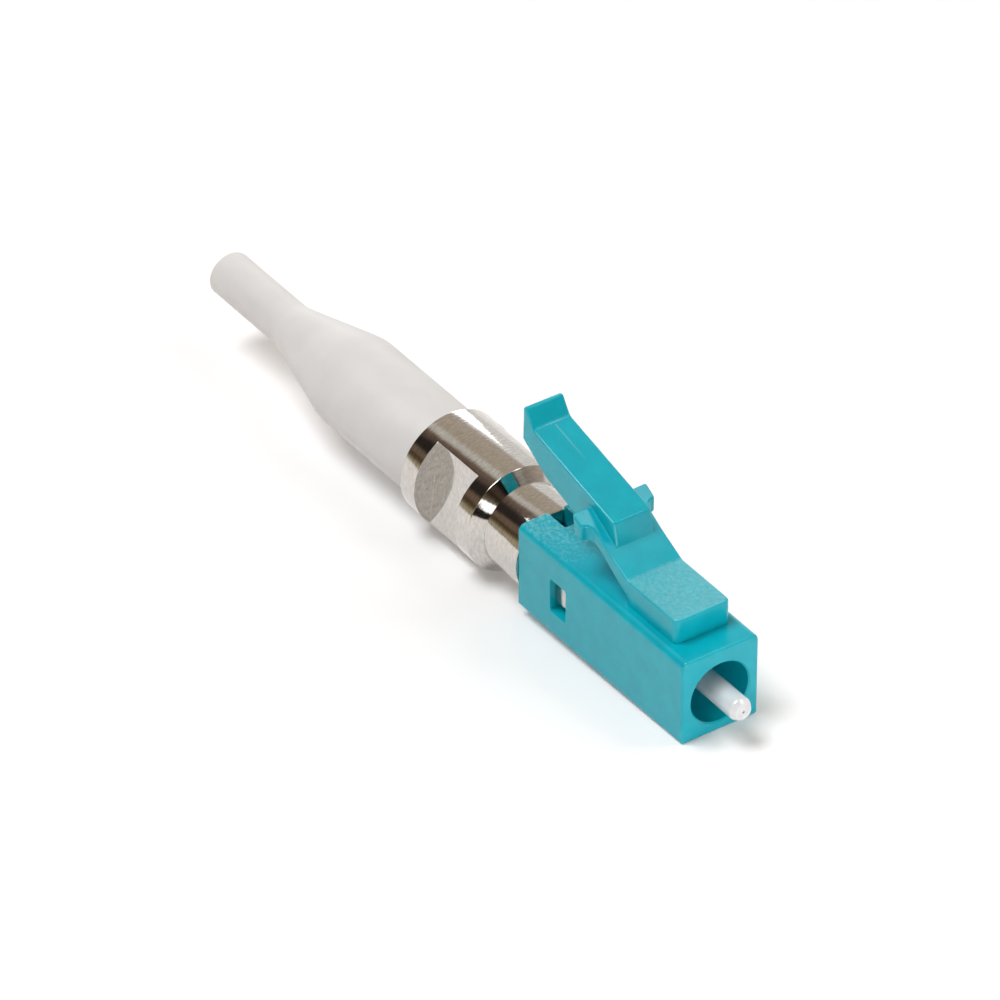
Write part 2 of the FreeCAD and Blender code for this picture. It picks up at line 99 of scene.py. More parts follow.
def turned(profile, steps=192):
    """Spins a closed outline of (x, radius) points about the X axis."""
    mesh = bmesh.new()
    points = [mesh.verts.new((x, 0.0, radius)) for x, radius in profile]
    for first, second in zip(points, points[1:] + points[:1]):
        mesh.edges.new((first, second))
    bmesh.ops.spin(mesh, geom=mesh.verts[:] + mesh.edges[:], cent=(0, 0, 0), axis=(1, 0, 0),
                   dvec=(0, 0, 0), angle=math.tau, steps=steps, use_merge=True, use_duplicate=False)
    bmesh.ops.remove_doubles(mesh, verts=mesh.verts, dist=1e-5)
    bmesh.ops.dissolve_degenerate(mesh, edges=mesh.edges, dist=1e-6)
    bmesh.ops.recalc_face_normals(mesh, faces=mesh.faces)
    return mesh


def combined(base, operation, *tools):
    """The base with the tools cut from it, joined to it, or kept only where they meet it."""
    things = []
    for mesh in (base,) + tools:
        data = bpy.data.meshes.new("working")
        mesh.to_mesh(data)
        mesh.free()
        things.append(bpy.data.objects.new("working", data))
        bpy.context.scene.collection.objects.link(things[-1])
    for tool in things[1:]:
        modifier = things[0].modifiers.new("combine", "BOOLEAN")
        modifier.operation = operation
        modifier.solver = "EXACT"
        modifier.object = tool
    whole = things[0].evaluated_get(bpy.context.evaluated_depsgraph_get())
    result = bmesh.new()
    result.from_mesh(whole.to_mesh())
    for thing in things:
        bpy.data.meshes.remove(thing.data)
    bmesh.ops.remove_doubles(result, verts=result.verts, dist=1e-4)
    return result


def finished(name, mesh, material, sharp_degrees=25.0, weighted=True):
    """Makes an object in metres from a mesh in millimetres, smooth but for its sharp edges."""
    bmesh.ops.recalc_face_normals(mesh, faces=mesh.faces)
    bmesh.ops.scale(mesh, vec=(MM, MM, MM), verts=mesh.verts)
    for face in mesh.faces:
        face.smooth = True
    data = bpy.data.meshes.new(name)
    mesh.to_mesh(data)
    mesh.free()
    data.set_sharp_from_angle(angle=math.radians(sharp_degrees))
    data.materials.append(material)
    thing = bpy.data.objects.new(name, data)
    bpy.context.scene.collection.objects.link(thing)
    if weighted:
        evened = thing.modifiers.new("even_shading", "WEIGHTED_NORMAL")
        evened.keep_sharp = True
        evened.weight = 100
    return thing


def linear(code):
    """An sRGB hex colour as the linear values that Blender takes."""
    parts = [int(code[place:place + 2], 16) / 255 for place in (1, 3, 5)]
    return [part / 12.92 if part <= 0.04045 else ((part + 0.055) / 1.055) ** 2.4
            for part in parts] + [1.0]


def add(tree, kind, inputs=None, **settings):
    """Adds a node, sets its properties, then fills or links the inputs named or numbered."""
    node = tree.nodes.new("ShaderNode" + kind)
    for name, value in settings.items():
        setattr(node, name, value)
    for key, value in (inputs or {}).items():
        if isinstance(value, bpy.types.NodeSocket):
            tree.links.new(value, node.inputs[key])
        else:
            node.inputs[key].default_value = value
    return node


def ramp(tree, factor, *stops):
    """A colour ramp with (place, hex colour) stops."""
    node = add(tree, "ValToRGB", {"Fac": factor})
    elements = node.color_ramp.elements
    while len(elements) < len(stops):
        elements.new(1.0)
    for element, (place, code) in zip(elements, stops):
        element.position = place
        element.color = linear(code)
    return node.outputs["Color"]


def new_material(name):
    """An empty material, its node tree and its output node."""
    material = bpy.data.materials.new(name)
    material.use_nodes = True
    material.node_tree.nodes.clear()
    return material, material.node_tree, add(material.node_tree, "OutputMaterial")


# Teal PBT, moulded: a satin skin with flow clouds about 1 mm across. The tool's grain is 0.05 mm on
# the real one and drawn at 0.12 mm, to show at all. A pale sheen is painted in flecks on the top wall
# under the latch, and a pale reflection in flecks on the root block's top, with a rougher skin there;
# the tool left a faint line down the lever.
TOP_SHEEN_START_AT = 9.0
TOP_SHEEN_FULL_AT = 12.0
BLOCK_SHEEN_END_AT = 5.4
BLOCK_SHEEN_FADE = 0.2
BLOCK_SHEEN_RISE = 3.93
BLOCK_SHEEN_FULL_RISE = 3.99
LINE_ASIDE = 0.1
LINE_CORE = 0.02
LINE_EDGE = 0.07
LINE_START_AT = 11.2
LINE_FULL_AT = 12.8
LINE_FADE_AT = 13.9
LINE_END_AT = 14.05
LINE_RISE = 6.6
LINE_FULL_RISE = 6.8
teal_pbt, tree, output = new_material("teal_pbt_moulded")
place = add(tree, "TexCoord").outputs["Object"]
clouds = add(tree, "TexNoise", {"Vector": place, "Scale": 1 / (1.1 * MM), "Detail": 3.0,
                                "Roughness": 0.6}).outputs["Fac"]
clouded = ramp(tree, clouds, (0.3, "#00A4B6"), (0.55, "#00ABBC"), (0.75, "#02B1C2"))
along = add(tree, "SeparateXYZ", {"Vector": place})
# The scuff mask: a pale sheen painted in flecks on the top wall towards the back, under the lever, standing
# in for light it catches there.
behind = add(tree, "MapRange", {"Value": along.outputs["X"], "From Min": -TOP_SHEEN_START_AT * MM,
                                "From Max": -TOP_SHEEN_FULL_AT * MM}).outputs["Result"]
on_top = add(tree, "MapRange", {"Value": along.outputs["Z"], "From Min": (NOSE_TOP - 0.15) * MM,
                                "From Max": (NOSE_TOP - 0.02) * MM}).outputs["Result"]
under_arm = add(tree, "MapRange", {"Value": along.outputs["Z"], "From Min": (NOSE_TOP + 0.1) * MM,
                                   "From Max": (NOSE_TOP + 0.05) * MM}).outputs["Result"]
wall = add(tree, "Math", {0: on_top, 1: under_arm}, operation="MULTIPLY").outputs[0]
area = add(tree, "Math", {0: wall, 1: behind}, operation="MULTIPLY").outputs[0]
flecks = add(tree, "TexNoise", {"Vector": place, "Scale": 1 / (0.22 * MM), "Detail": 5.0,
                                "Roughness": 0.7}).outputs["Fac"]
fleck = add(tree, "MapRange", {"Value": flecks, "From Min": 0.46, "From Max": 0.66,
                               "To Max": 0.55}).outputs["Result"]
top_wall_painted_sheen = add(tree, "Math", {0: fleck, 1: area}, operation="MULTIPLY").outputs[0]
# The frost mask: a pale reflection painted in flecks on the root block's top.
before_bend = add(tree, "MapRange", {"Value": along.outputs["X"],
                                     "From Min": -(BLOCK_SHEEN_END_AT + BLOCK_SHEEN_FADE) * MM,
                                     "From Max": -BLOCK_SHEEN_END_AT * MM}).outputs["Result"]
on_block = add(tree, "MapRange", {"Value": along.outputs["Z"], "From Min": BLOCK_SHEEN_RISE * MM,
                                  "From Max": BLOCK_SHEEN_FULL_RISE * MM}).outputs["Result"]
block_painted_reflection = add(tree, "MapRange", {"Value": flecks, "From Min": 0.35, "From Max": 0.7,
                               "To Min": 0.15, "To Max": 0.55}).outputs["Result"]
block_top = add(tree, "Math", {0: before_bend, 1: on_block}, operation="MULTIPLY").outputs[0]
painted_sheen_and_reflection = add(tree, "Math", {0: block_top, 1: block_painted_reflection, 2: top_wall_painted_sheen}, operation="MULTIPLY_ADD").outputs[0]
off_middle = add(tree, "Math", {0: add(tree, "Math", {0: along.outputs["Y"], 1: -LINE_ASIDE * MM},
                                       operation="ADD").outputs[0]}, operation="ABSOLUTE").outputs[0]
thin = add(tree, "MapRange", {"Value": off_middle, "From Min": LINE_EDGE * MM,
                              "From Max": LINE_CORE * MM, "To Max": 0.3}).outputs["Result"]
on_lever = add(tree, "MapRange", {"Value": along.outputs["X"], "From Min": -LINE_START_AT * MM,
                                  "From Max": -LINE_FULL_AT * MM}).outputs["Result"]
high = add(tree, "MapRange", {"Value": along.outputs["Z"], "From Min": LINE_RISE * MM,
                              "From Max": LINE_FULL_RISE * MM}).outputs["Result"]
low = add(tree, "MapRange", {"Value": along.outputs["X"], "From Min": -LINE_END_AT * MM,
                             "From Max": -LINE_FADE_AT * MM}).outputs["Result"]
upper = add(tree, "Math", {0: high, 1: low}, operation="MULTIPLY").outputs[0]
witness = add(tree, "Math", {0: on_lever, 1: upper}, operation="MULTIPLY").outputs[0]
line_and_painted_sheen = add(tree, "Math", {0: thin, 1: witness, 2: painted_sheen_and_reflection}, operation="MULTIPLY_ADD").outputs[0]
# The pale tone is mixed in for the tool's line and for the painted sheen and reflection.
lined_and_sheened_teal = add(tree, "Mix", {"Factor": line_and_painted_sheen, 6: clouded, 7: linear("#8FC9CF")},
              data_type="RGBA").outputs[2]
grain = add(tree, "TexNoise", {"Vector": place, "Scale": 1 / (0.12 * MM), "Detail": 2.0}).outputs["Fac"]
skin = add(tree, "MapRange", {"Value": grain, "To Min": 0.2, "To Max": 0.3}).outputs["Result"]
# Roughness rises where the sheen and reflection are painted.
sheen_patch_roughness = add(tree, "Math", {0: painted_sheen_and_reflection, 1: 0.25, 2: skin}, operation="MULTIPLY_ADD").outputs[0]
dimples = add(tree, "Bump", {"Height": grain, "Strength": 0.06, "Distance": 0.02 * MM}).outputs["Normal"]
skin_shader = add(tree, "BsdfPrincipled", {
    "Base Color": lined_and_sheened_teal, "Roughness": sheen_patch_roughness, "IOR": 1.5, "Specular IOR Level": 0.42,
    "Normal": dimples})
tree.links.new(skin_shader.outputs["BSDF"], output.inputs["Surface"])

shell = block((-NOSE_LENGTH, -NOSE_WIDTH / 2, NOSE_BOTTOM), (0.0, NOSE_WIDTH / 2, NOSE_TOP))
round_edges(shell, lambda a, b: min(a.z, b.z) > NOSE_TOP - 0.01 and abs(a.x - b.x) > 1,
            NOSE_TOP_ROUND, 8)
round_edges(shell, lambda a, b: max(a.z, b.z) < NOSE_BOTTOM + 0.01 and abs(a.x - b.x) > 1,
            NOSE_BOTTOM_ROUND, 4)
round_edges(shell, lambda a, b: min(a.x, b.x) > -0.01, NOSE_FACE_ROUND, 4)
round_edges(shell, lambda a, b: max(a.x, b.x) < -NOSE_LENGTH + 0.01, NOSE_BACK_ROUND, 2)
bores = turned([
    (1.0, 0.0),
    (1.0, MOUTH_RADIUS + MOUTH_CHAMFER + 1.0),
    (-MOUTH_CHAMFER, MOUTH_RADIUS),
    (-MOUTH_DEPTH, MOUTH_RADIUS),
    (-MOUTH_DEPTH, WEB_HOLE_RADIUS),
    (-POCKET_BACK, WEB_HOLE_RADIUS),
    (-POCKET_BACK, BACK_BORE_RADIUS),
    (-NOSE_LENGTH - 1.0, BACK_BORE_RADIUS),
    (-NOSE_LENGTH - 1.0, 0.0),
])
pocket = bmesh.new()
bmesh.ops.create_cone(pocket, cap_ends=True, segments=6, radius1=POCKET_CORNER,
                      radius2=POCKET_CORNER, depth=POCKET_BACK - WEB_BACK + 0.001)
bmesh.ops.rotate(pocket, cent=(0, 0, 0), matrix=Matrix.Rotation(math.pi / 2, 3, "Y"),
                 verts=pocket.verts)
bmesh.ops.translate(pocket, vec=(-(POCKET_BACK + WEB_BACK) / 2, 0, 0), verts=pocket.verts)
windows = block((-WINDOW_AT - WINDOW_LENGTH, -NOSE_WIDTH, -WINDOW_HEIGHT / 2),
                (-WINDOW_AT, NOSE_WIDTH, WINDOW_HEIGHT / 2))
round_edges(windows, lambda a, b: abs(a.y - b.y) > 1, WINDOW_CORNER_ROUND, 4)
notch = block((-NOSE_LENGTH - 1.0, -NOTCH_WIDTH / 2, 0.0),
              (-NOSE_LENGTH + NOTCH_LENGTH, NOTCH_WIDTH / 2, NOSE_TOP + 1.0))
round_edges(notch, lambda a, b: abs(a.z - b.z) > 1 and min(a.x, b.x) > -NOSE_LENGTH,
            NOTCH_CORNER_ROUND, 3)
shell = combined(shell, "DIFFERENCE", bores, pocket, windows, notch)


def on_window_rim(a, b):
    """True for an edge of a side window in the outer skin."""
    return all(abs(abs(end.y) - NOSE_WIDTH / 2) < 1e-3
               and -WINDOW_AT - WINDOW_LENGTH - 0.01 < end.x < -WINDOW_AT + 0.01
               and abs(end.z) < WINDOW_HEIGHT / 2 + 0.01 for end in (a, b))


def on_notch_rim(a, b):
    """True for an edge of the notch in the top skin."""
    return all(abs(end.z - NOSE_TOP) < 1e-3 and abs(end.y) < NOTCH_WIDTH / 2 + 0.01
               and end.x < -NOSE_LENGTH + NOTCH_LENGTH + 0.01 for end in (a, b))


round_edges(shell, on_window_rim, WINDOW_RIM_ROUND, 3)
round_edges(shell, on_notch_rim, WINDOW_RIM_ROUND, 3)
housing_shell = finished("housing_shell", shell, teal_pbt)
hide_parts("housing")
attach(housing_shell, "connector")


# Latch moulding: the root block on the housing's top, the ramp plate that springs from it, the two
# ears that catch in the adapter, and the thumb lever with its lip. It is one moulding with the
# housing, in the same teal PBT, and bends in the thin stretch behind the block.
LATCH_WIDTH = 3.25
ROOT_FRONT_AT = 1.5
ROOT_BACK_AT = 5.45
ROOT_TOP = 4.0
ROOT_SUNK = 2.4
ROOT_CORNER_ROUND = 0.28
ROOT_TOP_ROUND = 0.17
ARM_UNDER = 2.9
STEP_AT = 7.1
STEP_FOOT = 4.76
STEP_LEAN = 0.28
STEP_TOP = 6.05
EAR_BACK_AT = 9.3
EAR_BACK_LEAN = 0.2
EAR_TOP = 6.0
EAR_UNDER = 4.9
EAR_LENGTH = 0.75
EAR_SPAN = 4.4
EAR_ROOT_ROUND = 0.45
EAR_TIP_ROUND = 0.125
BELLY_AT = 7.7
BELLY = 4.35
LEVER_WIDTH = 2.24
LIP_FOOT_AT = 14.12
LIP_FOOT = 7.6
LIP_TOP_AT = 14.72
LIP_TOP = 8.5
LIP_THICKNESS = 0.25
LEVER_END_AT = 15.03
LEVER_END = 6.6
HEEL_AT = 13.1
HEEL = 5.4
HEEL_FRONT_AT = 10.9
HEEL_FRONT = 4.75
LIP_FOOT_ROUND = 0.5
LIP_TIP_ROUND = 0.1
ARM_EDGE_ROUND = 0.11
BEND_FRONT_AT = 5.3
BEND_BACK_AT = 6.1
BEND_LOOPS = 9


def arc(before, corner, after, radius, steps):
    """The points of a round corner of that radius between two straight runs."""
    corner = Vector(corner)
    back = (Vector(before) - corner).normalized()
    on = (Vector(after) - corner).normalized()
    half = back.angle(on) / 2
    centre = corner + (back + on).normalized() * radius / math.sin(half)
    first = (corner + back * radius / math.tan(half) - centre).normalized()
    last = (corner + on * radius / math.tan(half) - centre).normalized()
    return [tuple(centre + radius * first.slerp(last, step / steps)) for step in range(steps + 1)]


def slab(outline, half_depth, axis):
    """A prism of an outline, to both sides along an axis: Y for (x, z) points, Z for (x, y)."""
    mesh = bmesh.new()
    if axis == "Y":
        points = [mesh.verts.new((x, -half_depth, z)) for x, z in outline]
        reach = (0, 2 * half_depth, 0)
    else:
        points = [mesh.verts.new((x, y, -half_depth)) for x, y in outline]
        reach = (0, 0, 2 * half_depth)
    face = mesh.faces.new(points)
    grown = bmesh.ops.extrude_face_region(mesh, geom=[face])["geom"]
    ends = [item for item in grown if isinstance(item, bmesh.types.BMVert)]
    bmesh.ops.translate(mesh, vec=reach, verts=ends)
    bmesh.ops.recalc_face_normals(mesh, faces=mesh.faces)
    return mesh


plate = slab([
    (-ROOT_FRONT_AT, ROOT_SUNK),
    (-ROOT_FRONT_AT, ROOT_TOP),
    (-ROOT_BACK_AT, ROOT_TOP),
    (-STEP_AT, STEP_FOOT),
    (-EAR_BACK_AT, EAR_TOP),
    (-EAR_BACK_AT + EAR_BACK_LEAN, EAR_UNDER),
    (-BELLY_AT, BELLY),
    (-ROOT_BACK_AT - 0.02, ARM_UNDER),
    (-ROOT_BACK_AT, ROOT_SUNK),
], EAR_SPAN, "Y")
half_width = LATCH_WIDTH / 2
ear_front = -EAR_BACK_AT + EAR_LENGTH
near_side = (
    arc((-9, half_width), (-ROOT_FRONT_AT, half_width), (-ROOT_FRONT_AT, 0),
        ROOT_CORNER_ROUND, 7)[::-1]
    + arc((0, half_width), (ear_front, half_width), (ear_front, 9), EAR_ROOT_ROUND, 8)
    + arc((ear_front, 0), (ear_front, EAR_SPAN / 2), (-99, EAR_SPAN / 2), EAR_TIP_ROUND, 5)
    + [(-EAR_BACK_AT - 1.0, EAR_SPAN / 2)])
plan = slab(near_side + [(x, -y) for x, y in near_side[::-1]], 9.0, "Z")
lip_run = arc((-STEP_AT - STEP_LEAN, STEP_TOP), (-LIP_FOOT_AT, LIP_FOOT), (-LIP_TOP_AT, LIP_TOP),
              LIP_FOOT_ROUND, 8)
lever = slab([
    (-STEP_AT - 0.3, STEP_FOOT - 0.2),
    (-STEP_AT, STEP_FOOT),
    (-STEP_AT - STEP_LEAN, STEP_TOP)]
    + lip_run
    + arc(lip_run[-1], (-LIP_TOP_AT, LIP_TOP), (-LIP_TOP_AT - LIP_THICKNESS, LIP_TOP),
          LIP_TIP_ROUND, 4)
    + arc((-LIP_TOP_AT, LIP_TOP), (-LIP_TOP_AT - LIP_THICKNESS, LIP_TOP), (-LEVER_END_AT, LEVER_END),
          LIP_TIP_ROUND, 4)
    + [(-LEVER_END_AT, LEVER_END),
       (-HEEL_AT, HEEL),
       (-HEEL_FRONT_AT, HEEL_FRONT),
       (-EAR_BACK_AT + EAR_BACK_LEAN, BELLY),
       (-BELLY_AT - 0.2, BELLY + 0.1)], LEVER_WIDTH / 2, "Y")
arm = combined(combined(plate, "INTERSECT", plan), "UNION", lever)
bmesh.ops.dissolve_limit(arm, angle_limit=math.radians(1.0), verts=arm.verts, edges=arm.edges)
bmesh.ops.remove_doubles(arm, verts=arm.verts, dist=2e-3)


def edge_round(edge):
    """The radius of an edge's round: full on the root block's top, less on the rest of the arm."""
    if not edge.is_manifold or edge.calc_face_angle() < math.radians(28):
        return 0.0
    ends = [end.co for end in edge.verts]
    if max(end.z for end in ends) < ROOT_SUNK + 0.2:
        return 0.0
    on_block = all(abs(end.z - ROOT_TOP) < 0.01 for end in ends)
    return ROOT_TOP_ROUND if on_block else ARM_EDGE_ROUND


def softened(mesh, radius_of, largest, steps):
    """The mesh with each edge rounded by its own radius."""
    radii = [radius_of(edge) for edge in mesh.edges]
    data = bpy.data.meshes.new("working")
    mesh.to_mesh(data)
    mesh.free()
    weights = data.attributes.new("bevel_weight_edge", "FLOAT", "EDGE")
    weights.data.foreach_set("value", [radius / largest for radius in radii])
    thing = bpy.data.objects.new("working", data)
    bpy.context.scene.collection.objects.link(thing)
    modifier = thing.modifiers.new("soften", "BEVEL")
    modifier.affect = "EDGES"
    modifier.limit_method = "WEIGHT"
    modifier.offset_type = "OFFSET"
    modifier.width = largest
    modifier.segments = steps
    modifier.profile = 0.5
    modifier.material = -1
    modifier.use_clamp_overlap = False
    whole = thing.evaluated_get(bpy.context.evaluated_depsgraph_get())
    result = bmesh.new()
    result.from_mesh(whole.to_mesh())
    bpy.data.meshes.remove(data)
    bmesh.ops.remove_doubles(result, verts=result.verts, dist=1e-4)
    return result


arm = softened(arm, edge_round, ROOT_TOP_ROUND, 4)
for step in range(BEND_LOOPS):
    at = -BEND_FRONT_AT - (BEND_BACK_AT - BEND_FRONT_AT) * step / (BEND_LOOPS - 1)
    bmesh.ops.bisect_plane(arm, geom=arm.verts[:] + arm.edges[:] + arm.faces[:],
                           plane_co=(at, 0, 0), plane_no=(1, 0, 0), dist=1e-5)
latch_moulding = finished("latch_moulding", arm, teal_pbt, sharp_degrees=20.0)
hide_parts("latch")
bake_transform(latch_moulding)


# Metal body: turned from brass bar on a lathe, the wrench flats milled, then bright nickel plated.
# Its sleeve snaps into the housing's windows by two lugs and its socket holds the boot.
SLEEVE_FRONT_AT = 9.6
SLEEVE_RADIUS = 1.6
SLEEVE_BORE_RADIUS = 0.95
SLEEVE_BORE_END_AT = 14.6
NECK_FRONT_AT = 13.77
NECK_RADIUS = 2.4
NECK_BACK_AT = 16.5
BODY_RADIUS = 3.0
BODY_FRONT_AT = 17.1
BODY_BACK_AT = 22.95
BODY_BORE_RADIUS = 1.4
BODY_BORE_END_AT = 17.7
SOCKET_RADIUS = 1.45
RECESS_DEPTH = 0.9
RECESS_RADIUS = 2.6
RIM_ROUND = 0.07
BACK_RIM_ROUND = 0.1
SLEEVE_FRONT_ROUND = 0.08
NECK_FRONT_ROUND = 0.06
FLAT_FRONT_AT = 18.2
FLAT_BACK_AT = 21.7
FLAT_RADIUS = 1.8
FLAT_TURN = 83.8
FLAT_EDGE_ROUND = 0.035
LUG_FRONT_AT = 9.8
LUG_BACK_AT = 11.0
LUG_REACH = 1.88
LUG_HEIGHT = 1.1
LUG_RAMP = 0.3

# Bright nickel on turned brass: a warm grey mirror. The tool's feed leaves rings and short streaks,
# 0.06 mm apart and drawn at 0.18 and 0.1 mm to show, and the plating waves over about 1.4 mm. The
# milled flats have no rings.
bright_nickel, tree, output = new_material("bright_nickel_plate")
place = add(tree, "TexCoord").outputs["Object"]
along = add(tree, "SeparateXYZ", {"Vector": place})
rings = add(tree, "TexNoise", {"Vector": along.outputs["X"], "Scale": 1 / (0.18 * MM),
                               "Detail": 4.0}).outputs["Fac"]
section = add(tree, "CombineXYZ", {"Y": along.outputs["Y"], "Z": along.outputs["Z"]}).outputs["Vector"]
radius = add(tree, "VectorMath", {0: section}, operation="LENGTH").outputs["Value"]
inside = add(tree, "Math", {0: radius, 1: (BODY_RADIUS - 0.02) * MM}, operation="LESS_THAN").outputs[0]
behind = add(tree, "Math", {0: along.outputs["X"], 1: -(FLAT_FRONT_AT - 0.01) * MM},
             operation="LESS_THAN").outputs[0]
milled = add(tree, "Math", {0: inside, 1: behind}, operation="MULTIPLY").outputs[0]
cut_depth = add(tree, "MapRange", {"Value": milled, "To Min": 0.22, "To Max": 0.0}).outputs["Result"]
waves = add(tree, "TexNoise", {"Vector": place, "Scale": 1 / (1.4 * MM), "Detail": 2.0}).outputs["Fac"]
film = add(tree, "MapRange", {"Value": waves, "To Min": 0.05, "To Max": 0.12}).outputs["Result"]
drawn_round = add(tree, "Mapping", {"Vector": place, "Scale": (1.0, 0.3, 0.3)}).outputs["Vector"]
streaks = add(tree, "TexNoise", {"Vector": drawn_round, "Scale": 1 / (0.1 * MM), "Detail": 4.0,
                                 "Roughness": 0.7}).outputs["Fac"]
plated = ramp(tree, streaks, (0.35, "#BFBBB5"), (0.5, "#CAC6C1"), (0.65, "#D5D2CD"))
ringed = add(tree, "Bump", {"Height": rings, "Strength": cut_depth, "Distance": 0.02 * MM}).outputs["Normal"]
waved = add(tree, "Bump", {"Height": waves, "Strength": 0.12, "Distance": 0.1 * MM,
                           "Normal": ringed}).outputs["Normal"]
nickel = add(tree, "BsdfPrincipled", {
    "Base Color": plated, "Metallic": 1.0, "Roughness": film, "Normal": waved})
tree.links.new(nickel.outputs["BSDF"], output.inputs["Surface"])

outside = turned(
    [(-SLEEVE_FRONT_AT, 0.0)]
    + arc((-SLEEVE_FRONT_AT, 0), (-SLEEVE_FRONT_AT, SLEEVE_RADIUS), (-99, SLEEVE_RADIUS),
          SLEEVE_FRONT_ROUND, 3)
    + [(-NECK_FRONT_AT, SLEEVE_RADIUS)]
    + arc((-NECK_FRONT_AT, 0), (-NECK_FRONT_AT, NECK_RADIUS), (-99, NECK_RADIUS),
          NECK_FRONT_ROUND, 3)
    + [(-NECK_BACK_AT, NECK_RADIUS)]
    + arc((-NECK_BACK_AT, NECK_RADIUS), (-BODY_FRONT_AT, BODY_RADIUS), (-99, BODY_RADIUS),
          RIM_ROUND, 4)
    + arc((-BODY_FRONT_AT, BODY_RADIUS), (-BODY_BACK_AT, BODY_RADIUS), (-BODY_BACK_AT, 0),
          BACK_RIM_ROUND, 4)
    + [(-BODY_BACK_AT, 0.0)], steps=256)
lugs = slab([
    (-LUG_FRONT_AT, SLEEVE_RADIUS - 0.02),
    (-LUG_FRONT_AT - LUG_RAMP, LUG_REACH),
    (-LUG_BACK_AT, LUG_REACH),
    (-LUG_BACK_AT, -LUG_REACH),
    (-LUG_FRONT_AT - LUG_RAMP, -LUG_REACH),
    (-LUG_FRONT_AT, -SLEEVE_RADIUS + 0.02),
], LUG_HEIGHT / 2, "Z")
bore = turned([
    (-SLEEVE_FRONT_AT + 1.0, 0.0),
    (-SLEEVE_FRONT_AT + 1.0, SLEEVE_BORE_RADIUS),
    (-SLEEVE_BORE_END_AT, SLEEVE_BORE_RADIUS),
    (-SLEEVE_BORE_END_AT, BODY_BORE_RADIUS),
    (-BODY_BORE_END_AT, BODY_BORE_RADIUS),
    (-BODY_BORE_END_AT, SOCKET_RADIUS),
    (-BODY_BACK_AT + RECESS_DEPTH, SOCKET_RADIUS),
    (-BODY_BACK_AT + RECESS_DEPTH, RECESS_RADIUS),
    (-BODY_BACK_AT - 1.0, RECESS_RADIUS),
    (-BODY_BACK_AT - 1.0, 0.0),
], steps=256)
mills = []
for side in (0.0, 180.0):
    mill = block((-FLAT_BACK_AT, -BODY_RADIUS, FLAT_RADIUS),
                 (-FLAT_FRONT_AT, BODY_RADIUS, BODY_RADIUS + 1))
    bmesh.ops.rotate(mill, cent=(0, 0, 0), verts=mill.verts,
                     matrix=Matrix.Rotation(math.radians(FLAT_TURN + side), 3, "X"))
    mills.append(mill)
solid = combined(combined(outside, "UNION", lugs), "DIFFERENCE", bore, *mills)


def on_flat_rim(edge):
    """True for a corner edge round a milled wrench flat."""
    return (edge.is_manifold and edge.calc_face_angle() > math.radians(15)
            and all(-FLAT_BACK_AT - 0.01 < end.co.x < -FLAT_FRONT_AT + 0.01
                    and math.hypot(end.co.y, end.co.z) > BODY_RADIUS - 0.01 for end in edge.verts))


bmesh.ops.bevel(solid, geom=[edge for edge in solid.edges if on_flat_rim(edge)],
                offset=FLAT_EDGE_ROUND, offset_type="OFFSET", segments=2, profile=0.5,
                affect="EDGES", material=-1, clamp_overlap=True)
body_turning = finished("body_turning", solid, bright_nickel, sharp_degrees=22.0)
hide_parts("metal_body")
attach(body_turning, "connector")


# Boot: a soft white PVC moulding, pushed into the metal body's socket. It narrows in one long
# sweep to a tail that keeps the buffered fibre from a sharp bend.
STEM_RADIUS = 1.43
STEM_INSIDE = 0.83
BOOT_RADIUS = 2.58
BOOT_CONE_FRONT_AT = 31.35
BOOT_CONE_BACK_AT = 37.0
BOOT_TAIL_RADIUS = 1.24
BOOT_TAIL_BORE = 0.52
BOOT_END_AT = 42.9
BOOT_SHOULDER_ROUND = 5.0
BOOT_WAIST_ROUND = 3.0
BOOT_END_ROUND = 0.07
BOOT_SEAT_ROUND = 0.06
BOOT_MOUTH_ROUND = 0.08
BOOT_GAP = 0.02

# Soft white PVC: matt, a little see-through at its thin tail, with faint clouds where it cooled.
soft_pvc, tree, output = new_material("soft_white_pvc")
place = add(tree, "TexCoord").outputs["Object"]
clouds = add(tree, "TexNoise", {"Vector": place, "Scale": 1 / (2.5 * MM), "Detail": 4.0}).outputs["Fac"]
milky = ramp(tree, clouds, (0.3, "#D6D4D3"), (0.7, "#DDDCDB"))
grain = add(tree, "TexNoise", {"Vector": place, "Scale": 1 / (0.15 * MM), "Detail": 2.0}).outputs["Fac"]
matt = add(tree, "MapRange", {"Value": grain, "To Min": 0.42, "To Max": 0.58}).outputs["Result"]
pores = add(tree, "Bump", {"Height": grain, "Strength": 0.08, "Distance": 0.02 * MM}).outputs["Normal"]
pvc = add(tree, "BsdfPrincipled", {
    "Base Color": milky, "Roughness": matt, "IOR": 1.5, "Normal": pores,
    "Subsurface Weight": 0.2, "Subsurface Radius": (1.0, 0.9, 0.8), "Subsurface Scale": 0.5 * MM})
tree.links.new(pvc.outputs["BSDF"], output.inputs["Surface"])

